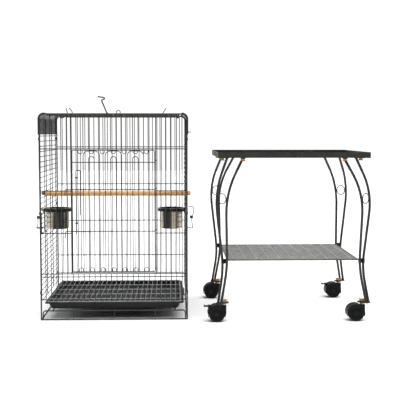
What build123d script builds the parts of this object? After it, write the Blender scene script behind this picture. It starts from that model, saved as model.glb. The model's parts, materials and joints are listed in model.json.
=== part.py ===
from build123d import *
import os

# Bird cage and its rolling stand, standing side by side. Millimetres, +Z up,
# +X to the right, -Y towards the cage door. The floor is Z = 0.

# ---- where the two halves of the set stand ----
CAGE_X = -277.2            # middle of the cage
CAGE_FRONT = -202.8        # plane of the front wires
STAND_X = 280.8            # middle of the stand
STAND_Y = -14.8

# ---- cage size ----
CAGE_W = 460.0
CAGE_D = 460.0
CAGE_H = 645.0
POST = 4.5                 # bent corner wire
RAIL = 3.0                 # cross wires
BAR = 2.5                  # upright bars
CORNER_R = 15.0            # bend at the top corners
PITCH = 16.0               # bar spacing of the back, sides and roof
DOOR_PITCH = 17.0          # bar spacing of the front panel and the door
LAYER = 3.2                # depth of the upright layer, cross wires lie behind it

POST_X = CAGE_W / 2 - POST / 2
POST_Z = CAGE_H - POST / 2
POST_Y = LAYER - POST / 2
BAR_Y = LAYER - BAR / 2
RAIL_Y = LAYER + RAIL / 2
BAR_TOP = CAGE_H - POST
FRONT_RAIL_TOP = 535.0
FRONT_RAIL_LOW = 145.0
TRAY_SLOT_RAILS = (135.7, 64.0)    # the lower one closes the panel above the tray
FRONT_BARS = 13            # upright bars on each side of the middle
SIDE_RAILS = (404.6, 272.5)
BACK_RAILS = (535.0, 403.5, 273.0, 148.5, 84.0)

# ---- door ----
HINGE_X = 131.3            # post that the door turns on
JAMB = 3.2
FRAME = 2.8                # door frame wire
DOOR_X = 127.8
DOOR_LOW = 152.5
DOOR_TOP = 531.0
DOOR_RODS = (493.4, 409.1, 278.5)
ARCH_PITCH = 68.0          # three arches across the door
ARCH_HALF = 25.5
ARCH_R = 15.0
INNER_TOP = 511.3
ARC = 2.2                  # wire of the small arcs
ARC_HALF = 5.9             # arcs at the foot of the door
SWAG_HALF = 6.8            # arcs hanging from its top
ARC_DROP = 11.0
HINGE_EYES = (500.0, 413.0, 282.5, 162.0)
PIN_GAP = 0.05             # radial clearance of every hinge
DOOR_FACE = LAYER - FRAME

# ---- door latch ----
HOOK_Y = -1.8
HANDLE_Y = HOOK_Y - FRAME
HOOK_Z = (409.1, 278.5)
HOOK_IN = -70.0
HOOK_OUT = -150.0
HOOK_TIP = 20.0
HANDLE_X = (-115.6, -102.1)
HANDLE_TOP = 468.6
HANDLE_FEET = (272.0, 330.0)
GUIDE_Z = (446.0, 305.0)

# ---- side panels ----
SIDE_X = POST_X - POST / 2 - BAR / 2
SIDE_UPRIGHT_X = SIDE_X + BAR / 2 + RAIL / 2
SIDE_LOW = 62.5
SIDE_ROWS = 33
SIDE_Y = (7.5, CAGE_D - 7.5)
SIDE_UPRIGHTS = (9.0, 153.0, 307.0, 451.0)
FLAP_Y = (20.0, 100.0)     # feeder opening
FLAP_LOW = SIDE_LOW + 13 * PITCH
FLAP_HIGH = FLAP_LOW + 4 * PITCH

# ---- corner covers ----
SHEET = 1.5
COVER_GAP = 0.25
COVER_LOW = 580.0
COVER_IN = 212.0

# ---- roof ----
ROOF_RAIL_X = 202.0
ROOF_RAIL_Z = BAR_TOP - 2.0
ROOF_RAIL = 4.0
ROOF_CROSS_Z = 640.0
ROOF_CROSS_Y = (9.5, 157.0, 305.0, 450.5)
ROOF_Y = (8.0, 452.0)
ROOF_SEAM = 3.0
ROOF_EDGE = 193.0
ROOF_FIRST = 51.0
ROOF_BARS = 9              # on each half
ROOF_EYES = (60.0, 230.0, 400.0)
LATCH_X = -19.0
LATCH_Y = 25.0
LATCH_BAR_Z = ROOF_CROSS_Z + RAIL
ROOF_TOP = ROOF_CROSS_Z + RAIL / 2 + BAR
HOOK_ROW_Y = 230.0         # toy hooks on the roof
HOOK_TOP = 667.0
HOOKS_LEFT = ((-163.0, -169.0), (-147.0, -150.0, -159.0))
HOOK_RIGHT = (147.5, 163.0)
LATCH_BENDS = ((-20.6, 645.8), (-37.0, 686.0), (-20.0, 692.0), (-48.6, 697.0))
LATCH_WIRE = 4.0
CATCH_X = 15.0
CATCH_R = 6.0
CATCH_WIRE = 2.2

# ---- feeders ----
CUP_X = 179.0
CUP_Y = 60.0
CUP_R = 35.5
CUP_WALL = 0.9
CUP_LOW = 283.0
RING_LOW = 338.0
RING_TOP = 347.0
RING_OUT = 43.0
RING_IN = 37.0
FEEDER_BOLT_Z = FLAP_HIGH + PITCH / 2
ARM_Y = 73.0               # plane of the flap's arm
ARM_BENDS = ((247.0, 280.0), (244.5, 300.0))
LUG_X = (238.0, 248.0)
LUG_Z = (312.5, 321.5)
HANDLE_WIRE = 2.6
HANDLE_PIN = (243.0, 317.0)
HANDLE_PIN_R = 1.5
HOOK_BENDS = ((2.2, 2.2), (6.0, 9.0), (6.0, 32.5), (-10.0, 33.5))   # from the pin, hook up

# ---- perch ----
PERCH_R = 8.5
PERCH_Y = 120.0
PERCH_Z = SIDE_LOW + 20.5 * PITCH
PERCH_END = 222.5

# ---- tray, floor grille and base ----
TRAY_LOW = 36.0
TRAY_TOP = 54.0
TRAY_FLOOR_X = 200.0
TRAY_RIM_X = 217.5
TRAY_Y = (1.0, 452.0)
TRAY_WALL = 2.0
GRILLE_CROSS_Z = TRAY_TOP + 0.4 + RAIL / 2
GRILLE_CROSS_Y = (13.5, 64.0, 155.0, 250.0, 345.0, 446.5)
GRILLE_SIDE = 207.0
BASE = 4.0
BASE_BAR_Z = 29.6
BASE_LEG_X = 222.0
BASE_BEND = 8.0
BASE_STUDS = (-128.0, 0.0, 128.0)
RUNNER_X = 190.0
RUNNER_Z = BASE_BAR_Z + BASE

# ---- stand ----
STAND_HALF = 235.0
STAND_TOP = 525.0
SEAT_LOW = 508.0
ANGLE_T = 2.0
SEAT_W = 25.0
LEG_ROD = 8.0
TAB_T = 3.0
LEG_TOP = (181.0, 23.0, SEAT_LOW - TAB_T)      # offset, half spread, height
LEG_SHOULDER = (228.0, 16.4, 400.0)
LEG_WAIST = (212.0, 5.7, 165.0)
LEG_FOOT = (230.0, 4.6, 60.0)
LEG_BENDS = (200.0, 250.0)
LEG_BOLT = 219.0
BOLT_R = 3.0
BOLT_HEAD_R = 5.0
RING_H = 382.0
RING_AT = 222.8
RING_R = 16.0
RING_WIRE = 2.8
FOOT_TOP = 60.0
FOOT_T = 4.0
STEM_AT = 217.0
SHELF_HALF = 205.0
SHELF_Z = 189.0
SHELF_EDGE = 4.0
SHELF_THIN = 1.6
SHELF_THICK = 2.2
SHELF_THIN_PITCH = 12.0
SHELF_THICK_PITCH = 37.0
CLAMP_Z = 187.0
CLAMP = (20.0, 9.4, 13.0)

# ---- casters ----
TRAIL = 22.0
WHEEL_R = 25.0
WHEEL_IN = 8.4
WHEEL_OUT = 24.0
AXLE_R = 2.5
WEB_HALF = 8.0
HOOD_R = 28.0
HOOD_T = 2.0
STEM_R = 4.0
SOCKET_TOP = 50.0
PEDAL_PIN = (-24.0, 22.0)
PEDAL_PIN_R = 1.5

CORNERS = {"front_left": (-1, -1), "front_right": (1, -1),
           "back_left": (-1, 1), "back_right": (1, 1)}
SIDES = {"left": -1, "right": 1}
BRAKED = ("front_left", "back_right")


# ---- small makers ----
def cylinder(start, direction, length, radius):
    plane = Plane(origin=start, z_dir=direction)
    return Solid.make_cylinder(radius, length, plane)


def rod(start, end, wire):
    run = Vector(*end) - Vector(*start)
    return cylinder(start, run, run.length, wire / 2)


def bent_rod(points, wire, bend):
    path = FilletPolyline(*points, radius=bend)
    section = Plane(origin=path @ 0, z_dir=path % 0) * Circle(wire / 2)
    return sweep(section, path=path).solid()


def eye(centre, direction, length, inner, outer):
    run = Vector(*direction).normalized()
    start = Vector(*centre) - run * (length / 2)
    body = cylinder(start, run, length, outer)
    return (body - cylinder(start - run, run, length + 2, inner)).solid()


def block(low, high):
    size = [b - a for a, b in zip(low, high)]
    centre = [(a + b) / 2 for a, b in zip(low, high)]
    return Pos(*centre) * Box(*size)


def hexagon(centre, direction, height, across, hole):
    plane = Plane(origin=centre, z_dir=direction)
    face = plane * (RegularPolygon(across / 2, 6, major_radius=False) - Circle(hole))
    return extrude(face, height).solid()


def save(name, solids, place):
    shapes = [place * solid for solid in solids]
    export_step(Compound(children=shapes), f"parts/{name}.step")


# ---- fixed wire panels ----
def hoop(y):
    """Two corner posts, and the bow that joins them over the top."""
    joint = POST_Z - CORNER_R - 5
    bow = [(-POST_X, y, joint), (-POST_X, y, POST_Z), (POST_X, y, POST_Z), (POST_X, y, joint)]
    posts = [rod((side * POST_X, y, 0), (side * POST_X, y, joint), POST) for side in (-1, 1)]
    return posts + [bent_rod(bow, POST, CORNER_R)]


def front_panel():
    wires = hoop(POST_Y)
    reach = CAGE_W / 2 - 1
    for z in (FRONT_RAIL_TOP, FRONT_RAIL_LOW, *TRAY_SLOT_RAILS):
        wires.append(rod((-reach, RAIL_Y, z), (reach, RAIL_Y, z), RAIL))
    for side in (-1, 1):
        post = side * HINGE_X
        wires.append(rod((post, LAYER - JAMB / 2, FRONT_RAIL_LOW), (post, LAYER - JAMB / 2, BAR_TOP), JAMB))
        for z in SIDE_RAILS:
            wires.append(rod((side * (HINGE_X - JAMB / 2), RAIL_Y, z), (side * reach, RAIL_Y, z), RAIL))
        for k in range(FRONT_BARS):
            x = side * DOOR_PITCH * (k + 0.5)
            foot = TRAY_SLOT_RAILS[-1] - RAIL / 2
            if abs(x) > HINGE_X:
                wires.append(rod((x, BAR_Y, foot), (x, BAR_Y, BAR_TOP), BAR))
                continue
            wires.append(rod((x, BAR_Y, foot), (x, BAR_Y, FRONT_RAIL_LOW + RAIL / 2), BAR))
            if abs(x) < DOOR_X - FRAME:
                wires.append(rod((x, BAR_Y, FRONT_RAIL_TOP - RAIL / 2), (x, BAR_Y, BAR_TOP), BAR))
    return wires


def back_panel():
    wires = hoop(CAGE_D - POST_Y)
    reach = CAGE_W / 2 - 1
    for z in BACK_RAILS:
        wires.append(rod((-reach, CAGE_D - RAIL_Y, z), (reach, CAGE_D - RAIL_Y, z), RAIL))
    for k in range(-13, 14):
        x = k * PITCH
        wires.append(rod((x, CAGE_D - BAR_Y, BACK_RAILS[-1] - RAIL / 2), (x, CAGE_D - BAR_Y, BAR_TOP), BAR))
    return wires


def side_panel(side):
    wires = []
    x = side * SIDE_X
    upright = side * SIDE_UPRIGHT_X
    top = CAGE_H - CORNER_R - POST / 2
    for y in SIDE_UPRIGHTS:
        wires.append(rod((upright, y, SIDE_LOW - RAIL / 2), (upright, y, top), RAIL))
    for row in range(SIDE_ROWS):
        z = SIDE_LOW + row * PITCH
        if FLAP_LOW < z < FLAP_HIGH:
            wires.append(rod((x, SIDE_Y[0], z), (x, FLAP_Y[0] + BAR / 2, z), BAR))
            wires.append(rod((x, FLAP_Y[1] - BAR / 2, z), (x, SIDE_Y[1], z), BAR))
        else:
            wires.append(rod((x, SIDE_Y[0], z), (x, SIDE_Y[1], z), BAR))
    for y in FLAP_Y:
        edge = side * (SIDE_X + BAR)
        wires.append(rod((edge, y, FLAP_LOW - BAR / 2), (edge, y, FLAP_HIGH + BAR / 2), BAR))
    return wires


def corner_cover(side):
    outer_x = CAGE_W / 2 + COVER_GAP + SHEET
    outer_z = CAGE_H + COVER_GAP + SHEET
    ends = (LAYER - POST, CAGE_D - LAYER + POST)
    outer = block((COVER_IN, ends[0], COVER_LOW), (outer_x, ends[1], outer_z))
    edge = outer.edges().filter_by(Axis.Y).sort_by(Axis.X)[-2:].sort_by(Axis.Z)[-1]
    outer = fillet(edge, CORNER_R + POST / 2 + COVER_GAP + SHEET)
    inner = block((0, ends[0] - 1, 0), (outer_x - SHEET, ends[1] + 1, outer_z - SHEET))
    edge = inner.edges().filter_by(Axis.Y).sort_by(Axis.X)[-2:].sort_by(Axis.Z)[-1]
    inner = fillet(edge, CORNER_R + POST / 2 + COVER_GAP)
    cover = outer - inner
    if side < 0:
        cover = mirror(cover, about=Plane.YZ)
    return [cover.solid()]


def cover_peg():
    start = CAGE_W / 2 + COVER_GAP + SHEET
    return [rod((start, 20, 587), (start + 9, 20, 587), BAR)]


def roof_rails():
    ends = (LAYER - POST, CAGE_D - LAYER + POST)
    return [rod((s * ROOF_RAIL_X, ends[0], ROOF_RAIL_Z), (s * ROOF_RAIL_X, ends[1], ROOF_RAIL_Z), ROOF_RAIL)
            for s in (-1, 1)]


def panel_clips():
    clips = []
    for side in (-1, 1):
        for low_y, high_y in ((-1, 12), (CAGE_D - 12, CAGE_D + 1)):
            for z in (87, 335, 565):
                inner = side * CAGE_W / 2
                outer = side * (CAGE_W / 2 + 1.2)
                strap = block((min(inner, outer), low_y, z - 4), (max(inner, outer), high_y, z + 4))
                clips.append(fillet(strap.edges().filter_by(Axis.X), 2).solid())
    return clips


def base_frame():
    wires = []
    inner = POST_X - POST / 2
    for y in (POST_Y, CAGE_D - POST_Y):
        wires.append(rod((-inner, y, BASE / 2), (inner, y, BASE / 2), BASE))
        bar_end = BASE_LEG_X - BASE_BEND - 2
        wires.append(rod((-bar_end, y, BASE_BAR_Z), (bar_end, y, BASE_BAR_Z), BASE))
        for side in (-1, 1):
            x = side * BASE_LEG_X
            corner = [(x, y, BASE), (x, y, BASE_BAR_Z), (side * bar_end, y, BASE_BAR_Z)]
            wires.append(bent_rod(corner, BASE, BASE_BEND))
        for x in BASE_STUDS:
            wires.append(rod((x, y, BASE), (x, y, BASE_BAR_Z - BASE / 2), BAR))
    for side in (-1, 1):
        x = side * POST_X
        wires.append(rod((x, LAYER, BASE / 2), (x, CAGE_D - LAYER, BASE / 2), BASE))
        x = side * RUNNER_X
        wires.append(rod((x, -1, RUNNER_Z), (x, CAGE_D + 1, RUNNER_Z), BASE))
    return wires


# ---- perch ----
def perch_dowel():
    return [rod((-PERCH_END, PERCH_Y, PERCH_Z), (PERCH_END, PERCH_Y, PERCH_Z), 2 * PERCH_R)]


def perch_screws():
    pieces = []
    face = SIDE_X + BAR / 2
    for side in (-1, 1):
        out = (side, 0, 0)
        pieces.append(cylinder((side * PERCH_END, PERCH_Y, PERCH_Z), out, 12, 2.5))
        pieces.append(eye((side * (face + 0.6), PERCH_Y, PERCH_Z), out, 1.2, 2.5, 8))
    return pieces


def perch_end(side, length, radius, nose):
    start = side * (SIDE_X + BAR / 2 + 1.2)
    knob = cylinder((start, PERCH_Y, PERCH_Z), (side, 0, 0), length, radius)
    far = knob.edges().sort_by(Axis.X)[-1 if side > 0 else 0]
    knob = fillet(far, nose)
    return [(knob - cylinder((start - side, PERCH_Y, PERCH_Z), (side, 0, 0), 10, 2.5)).solid()]


# ---- feeders ----
def feeder_ring(side):
    centre = (side * CUP_X, CUP_Y, (RING_LOW + RING_TOP) / 2)
    ring = cylinder((centre[0], CUP_Y, RING_LOW), (0, 0, 1), RING_TOP - RING_LOW, RING_OUT)
    wall = SIDE_X - BAR / 2
    xs = sorted((side * (wall - 8), side * wall))
    pad = block((xs[0], CUP_Y - 10, RING_LOW - 2), (xs[1], CUP_Y + 10, RING_TOP))
    hole = cylinder((centre[0], CUP_Y, RING_LOW - 5), (0, 0, 1), 30, RING_IN)
    return [(ring + pad - hole).solid()]


def feeder_bolts():
    pieces = []
    face = SIDE_X + BAR / 2
    for side in (-1, 1):
        out = (side, 0, 0)
        pieces.append(cylinder((side * (SIDE_X - BAR / 2), CUP_Y, FEEDER_BOLT_Z), out, 9.5, 2.5))
        pieces.append(eye((side * (face + 0.6), CUP_Y, FEEDER_BOLT_Z), out, 1.2, 2.5, 9))
        pieces.append(hexagon((side * (face + 1.2), CUP_Y, FEEDER_BOLT_Z), out, 4, 9, 2.5))
    return pieces


def feeder_cup(side):
    lip = RING_TOP + 0.3
    outer = cylinder((side * CUP_X, CUP_Y, CUP_LOW), (0, 0, 1), lip - CUP_LOW, CUP_R)
    outer = fillet(outer.edges().sort_by(Axis.Z)[0], 7)
    outer = outer + cylinder((side * CUP_X, CUP_Y, lip), (0, 0, 1), 1.2, CUP_R + 5.5)
    hollow = cylinder((side * CUP_X, CUP_Y, CUP_LOW + CUP_WALL), (0, 0, 1), 80, CUP_R - CUP_WALL)
    hollow = fillet(hollow.edges().sort_by(Axis.Z)[0], 7 - CUP_WALL)
    return [(outer - hollow).solid()]


def feeder_flap(side):
    wires = []
    inset = 6.0
    x = side * (SIDE_X + BAR + PIN_GAP + 0.2)
    for y in (FLAP_Y[0] + inset, FLAP_Y[1] - inset):
        knuckle = eye((side * SIDE_X, y, FLAP_LOW), (0, 1, 0), 4, BAR / 2 + PIN_GAP, 3.3)
        upright = rod((x, y, FLAP_LOW + 2), (x, y, FLAP_HIGH - 2.5), BAR)
        wires.append((upright + knuckle).solid())
    inner = side * (SIDE_X + PIN_GAP + 0.2)
    for z in (FLAP_LOW + PITCH, FLAP_LOW + 2 * PITCH, FLAP_LOW + 3 * PITCH, FLAP_HIGH - 4.2):
        wires.append(rod((inner, FLAP_Y[0] + 4.5, z), (inner, FLAP_Y[1] - 4.5, z), BAR))
    return wires + flap_arm(side)


def flap_arm(side):
    """Bent arm on the flap, and the lug at its top with the pin that the handle turns on."""
    start = SIDE_X + PIN_GAP + 0.4 + BAR / 2
    outline = [(start, FLAP_LOW + PITCH), *ARM_BENDS, (ARM_BENDS[-1][0], LUG_Z[0])]
    wire = bent_rod([(side * x, ARM_Y, z) for x, z in outline], HANDLE_WIRE, 2.5)
    xs = sorted((side * LUG_X[0], side * LUG_X[1]))
    lug = block((xs[0], ARM_Y - 3, LUG_Z[0]), (xs[1], ARM_Y + 3, LUG_Z[1]))
    lug = fillet(lug.edges().filter_by(Axis.Y), 1.5)
    x, z = side * HANDLE_PIN[0], HANDLE_PIN[1]
    pin = cylinder((x, ARM_Y, z), (0, 1, 0), 8.5, HANDLE_PIN_R)
    head = cylinder((x, ARM_Y + 7.5, z), (0, 1, 0), 1, 2.6)
    return [wire, (lug + pin + head).solid()]


def feeder_handle(side, hanging):
    """Locking hook: up, it reaches over a cage wire; hanging, it is turned half round."""
    flip = -1 if hanging else 1
    x, z = side * HANDLE_PIN[0], HANDLE_PIN[1]
    y = ARM_Y + 5.4
    points = [(x + side * flip * dx, y, z + flip * dz) for dx, dz in HOOK_BENDS]
    wire = bent_rod(points, HANDLE_WIRE, 3)
    hook = wire + cylinder((x, y - 1.7, z), (0, 1, 0), 3.4, 3.2)
    return [(hook - cylinder((x, y - 5, z), (0, 1, 0), 10, HANDLE_PIN_R + PIN_GAP)).solid()]


# ---- door and latch ----
def door_frame():
    y = LAYER - FRAME / 2
    corners = [(-DOOR_X, y, DOOR_LOW), (-DOOR_X, y, DOOR_TOP), (DOOR_X, y, DOOR_TOP), (DOOR_X, y, DOOR_LOW)]
    frame = bent_rod(corners, FRAME, 5)
    for z in HINGE_EYES:
        frame = frame + eye((HINGE_X, LAYER - JAMB / 2, z), (0, 0, 1), 2.4, JAMB / 2 + PIN_GAP, 3.8)
    return frame.solid()


def front_door():
    y = LAYER - FRAME / 2
    wires = [door_frame()]
    reach = DOOR_X - FRAME / 2
    wires.append(rod((-reach, y, DOOR_LOW), (reach, y, DOOR_LOW), FRAME))
    for z in DOOR_RODS:
        back = LAYER + FRAME / 2
        wires.append(rod((-DOOR_X, back, z), (DOOR_X, back, z), FRAME))
    low = DOOR_LOW + FRAME / 2
    arch_top = DOOR_TOP - FRAME / 2 - BAR / 2
    for k in (-1, 0, 1):
        x = k * ARCH_PITCH
        outer = [(x - ARCH_HALF, BAR_Y, low), (x - ARCH_HALF, BAR_Y, arch_top)]
        outer += [(x + ARCH_HALF, BAR_Y, arch_top), (x + ARCH_HALF, BAR_Y, low)]
        wires.append(bent_rod(outer, BAR, ARCH_R))
        half = DOOR_PITCH / 2
        inner = [(x - half, BAR_Y, low), (x - half, BAR_Y, INNER_TOP)]
        inner += [(x + half, BAR_Y, INNER_TOP), (x + half, BAR_Y, low)]
        wires.append(bent_rod(inner, BAR, half - 0.5))
    for side in (-1, 1):
        x = side * 6.5 * DOOR_PITCH
        wires.append(rod((x, BAR_Y, low), (x, BAR_Y, DOOR_TOP - FRAME / 2), BAR))
    return wires


def door_arcs():
    wires = []
    front = DOOR_FACE - ARC / 2
    low = DOOR_LOW + FRAME / 2
    for k in range(-3, 4):
        x = k * ARCH_PITCH / 2
        swag = [(x - SWAG_HALF, front, DOOR_TOP), (x - SWAG_HALF, front, DOOR_TOP - ARC_DROP)]
        swag += [(x + SWAG_HALF, front, DOOR_TOP - ARC_DROP), (x + SWAG_HALF, front, DOOR_TOP)]
        wires.append(bent_rod(swag, ARC, SWAG_HALF - 0.3))
        arch = [(x - ARC_HALF, BAR_Y, low), (x - ARC_HALF, BAR_Y, low + ARC_DROP)]
        arch += [(x + ARC_HALF, BAR_Y, low + ARC_DROP), (x + ARC_HALF, BAR_Y, low)]
        wires.append(bent_rod(arch, ARC, ARC_HALF - 0.3))
    return wires


def latch_guides():
    guides = []
    bar = -6.5 * DOOR_PITCH
    for z in GUIDE_Z:
        ring = eye((HANDLE_X[0], HANDLE_Y, z), (0, 0, 1), 4, FRAME / 2 + 0.3, 3.4)
        stub = block((HANDLE_X[0] - 2, HANDLE_Y + 2.6, z - 2), (bar + BAR / 2, BAR_Y - BAR / 2, z + 2))
        guides.append((ring + stub).solid())
    return guides


def door_latch():
    wires = []
    for z in HOOK_Z:
        bend = [(HOOK_IN, HOOK_Y, z), (HOOK_OUT, HOOK_Y, z), (HOOK_OUT, HOOK_Y, z - HOOK_TIP)]
        wires.append(bent_rod(bend, FRAME, 3))
    return wires


def latch_handle():
    left, right = HANDLE_X
    grip = [(left, HANDLE_Y, HANDLE_FEET[0]), (left, HANDLE_Y, HANDLE_TOP)]
    grip += [(right, HANDLE_Y, HANDLE_TOP), (right, HANDLE_Y, HANDLE_FEET[1])]
    return [bent_rod(grip, FRAME, 3)]


# ---- roof ----
def roof_half(side):
    wires = []
    wire_z = ROOF_CROSS_Z + RAIL / 2 + BAR / 2
    rail_z = ROOF_CROSS_Z + RAIL
    inner = side * (ROOF_SEAM - RAIL / 2)
    outer = side * (ROOF_EDGE + RAIL / 2)
    for y in ROOF_CROSS_Y:
        wires.append(rod((inner, y, ROOF_CROSS_Z), (outer, y, ROOF_CROSS_Z), RAIL))
    for x in (ROOF_SEAM, ROOF_EDGE):
        wires.append(rod((side * x, ROOF_Y[0], rail_z), (side * x, ROOF_Y[1], rail_z), RAIL))
    for k in range(ROOF_BARS):
        x = side * (ROOF_FIRST + k * PITCH)
        wires.append(rod((x, ROOF_Y[0], wire_z), (x, ROOF_Y[1], wire_z), BAR))
    for y in ROOF_EYES:
        knuckle = eye((side * ROOF_RAIL_X, y, ROOF_RAIL_Z), (0, 1, 0), 6, ROOF_RAIL / 2 + PIN_GAP, 4)
        xs = sorted((side * (ROOF_EDGE - 1), side * (ROOF_RAIL_X - 3)))
        arm = block((xs[0], y - 3, ROOF_CROSS_Z - 1), (xs[1], y + 3, ROOF_CROSS_Z + RAIL / 2))
        wires.append((arm + knuckle).solid())
    return wires


def roof_left():
    wires = roof_half(-1)
    short = LATCH_Y + 17
    wires.append(rod((-1.5, short, ROOF_CROSS_Z), (-ROOF_FIRST - 1.5, short, ROOF_CROSS_Z), RAIL))
    wires.append(rod((LATCH_X, ROOF_Y[0], LATCH_BAR_Z), (LATCH_X, short + 1.5, LATCH_BAR_Z), RAIL))
    straight, curved = HOOKS_LEFT
    wires.append(rod((straight[0], HOOK_ROW_Y, ROOF_TOP), (straight[1], HOOK_ROW_Y, HOOK_TOP), BAR))
    points = [(curved[0], HOOK_ROW_Y, ROOF_TOP), (curved[1], HOOK_ROW_Y, HOOK_TOP - 10)]
    wires.append(bent_rod([*points, (curved[2], HOOK_ROW_Y, HOOK_TOP)], BAR, 5))
    return wires


def roof_right():
    wires = roof_half(1)
    wires.append(rod((1.5, LATCH_Y, ROOF_CROSS_Z), (ROOF_FIRST + 1.5, LATCH_Y, ROOF_CROSS_Z), RAIL))
    foot, tip = HOOK_RIGHT
    wires.append(rod((foot, HOOK_ROW_Y, ROOF_TOP + 0.3), (tip, HOOK_ROW_Y, HOOK_TOP), BAR))
    return wires


def roof_latch():
    knuckle = eye((LATCH_X, LATCH_Y, LATCH_BAR_Z), (0, 1, 0), 5, RAIL / 2 + PIN_GAP, 4.4)
    arm = bent_rod([(x, LATCH_Y, z) for x, z in LATCH_BENDS], LATCH_WIRE, 2.6)
    return [(arm + knuckle).solid()]


def roof_catch():
    centre = (CATCH_X, LATCH_Y, ROOF_CROSS_Z + RAIL / 2 + CATCH_WIRE / 2 + CATCH_R)
    return [Solid.make_torus(CATCH_R, CATCH_WIRE / 2, Plane(origin=centre, z_dir=(0, 1, 0)))]


# ---- tray and grille ----
def tray():
    middle = (TRAY_Y[0] + TRAY_Y[1]) / 2
    depth = TRAY_Y[1] - TRAY_Y[0]
    lip = TRAY_TOP - TRAY_WALL

    def outline(z, half, length):
        return Plane(origin=(0, middle, z)) * RectangleRounded(2 * half, length, 12)

    outer = loft([outline(TRAY_LOW, TRAY_FLOOR_X, depth - 16), outline(lip, TRAY_FLOOR_X + 6, depth - 6)])
    rim = extrude(outline(lip, TRAY_RIM_X, depth), TRAY_WALL)
    shrink = TRAY_WALL
    hollow = loft([outline(TRAY_LOW + TRAY_WALL, TRAY_FLOOR_X - shrink, depth - 16 - 2 * shrink),
                   outline(TRAY_TOP + 2, TRAY_FLOOR_X + 6 - shrink, depth - 6 - 2 * shrink)])
    return [(outer + rim - hollow).solid()]


def floor_grille():
    wires = []
    long_z = GRILLE_CROSS_Z + RAIL / 2 + 1
    for y in GRILLE_CROSS_Y:
        wires.append(rod((-GRILLE_SIDE - 3, y, GRILLE_CROSS_Z), (GRILLE_SIDE + 3, y, GRILLE_CROSS_Z), RAIL))
    for k in range(-12, 13):
        wires.append(rod((k * PITCH, 12, long_z), (k * PITCH, 448, long_z), 2))
    for side in (-1, 1):
        edge_z = GRILLE_CROSS_Z + RAIL
        wires.append(rod((side * GRILLE_SIDE, 12, edge_z), (side * GRILLE_SIDE, 448, edge_z), RAIL))
    return wires


# ---- stand ----
def stand_top_frame():
    inner = STAND_HALF - ANGLE_T
    seat = STAND_HALF - SEAT_W
    upright = block((-STAND_HALF, -STAND_HALF, SEAT_LOW), (STAND_HALF, STAND_HALF, STAND_TOP))
    upright = upright - block((-inner, -inner, SEAT_LOW + ANGLE_T), (inner, inner, STAND_TOP + 1))
    frame = upright - block((-seat, -seat, 0), (seat, seat, STAND_TOP))
    for sx, sy in CORNERS.values():
        for x, y in leg_bolt_places(sx, sy):
            frame = frame - bolt_head(x, y)
    return [frame.solid()]


def bolt_head(x, y):
    """Countersunk head, flush with the seat."""
    return Solid.make_cone(BOLT_R, BOLT_HEAD_R, ANGLE_T, Plane(origin=(x, y, SEAT_LOW)))


def leg_bolt_places(sx, sy):
    near = LEG_TOP[0] - LEG_TOP[1]
    return [(sx * LEG_BOLT, sy * near), (sx * near, sy * LEG_BOLT)]


def leg_rod(sx, sy, spread):
    points = []
    for offset, half, z in (LEG_TOP, LEG_SHOULDER, LEG_WAIST, LEG_FOOT):
        points.append((sx * (offset + spread * half), sy * (offset - spread * half), z))
    path = FilletPolyline(*points, radius=list(LEG_BENDS))
    section = Plane(origin=path @ 0, z_dir=path % 0) * Circle(LEG_ROD / 2)
    return sweep(section, path=path).solid()


def leg_tab(sx, sy, spread):
    x = sx * (LEG_TOP[0] + spread * LEG_TOP[1])
    y = sy * (LEG_TOP[0] - spread * LEG_TOP[1])
    size = (34, 14) if spread > 0 else (14, 34)
    shift = (sx * 11, 0) if spread > 0 else (0, sy * 11)
    plane = Plane(origin=(x + shift[0], y + shift[1], LEG_TOP[2]))
    plate = extrude(plane * RectangleRounded(*size, 5), TAB_T)
    bolt = leg_bolt_places(sx, sy)[0 if spread > 0 else 1]
    return (plate - cylinder((bolt[0], bolt[1], LEG_TOP[2] - 1), (0, 0, 1), 5, BOLT_R)).solid()


def foot_tab(sx, sy):
    out = Vector(sx, sy, 0).normalized()
    middle = Vector(sx * 221, sy * 221, FOOT_TOP - FOOT_T)
    plane = Plane(origin=middle, x_dir=out, z_dir=(0, 0, 1))
    plate = extrude(plane * RectangleRounded(41, 24, 8), FOOT_T)
    return (plate - cylinder((sx * STEM_AT, sy * STEM_AT, 50), (0, 0, 1), 15, 5)).solid()


def leg(sx, sy):
    out = Vector(sx, sy, 0).normalized()
    pieces = [leg_rod(sx, sy, 1), leg_rod(sx, sy, -1), leg_tab(sx, sy, 1), leg_tab(sx, sy, -1)]
    ring_plane = Plane(origin=(sx * RING_AT, sy * RING_AT, RING_H), z_dir=out)
    pieces.append(Solid.make_torus(RING_R, RING_WIRE / 2, ring_plane))
    pieces.append(foot_tab(sx, sy))
    return pieces


def leg_bolts():
    pieces = []
    low = LEG_TOP[2] - 7
    for sx, sy in CORNERS.values():
        for x, y in leg_bolt_places(sx, sy):
            shank = cylinder((x, y, low), (0, 0, 1), SEAT_LOW - low, BOLT_R)
            pieces.append((shank + bolt_head(x, y)).solid())
    return pieces


def leg_nuts():
    pieces = []
    for sx, sy in CORNERS.values():
        for x, y in leg_bolt_places(sx, sy):
            pieces.append(hexagon((x, y, LEG_TOP[2] - 5), (0, 0, 1), 5, 10, BOLT_R))
    return pieces


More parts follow.
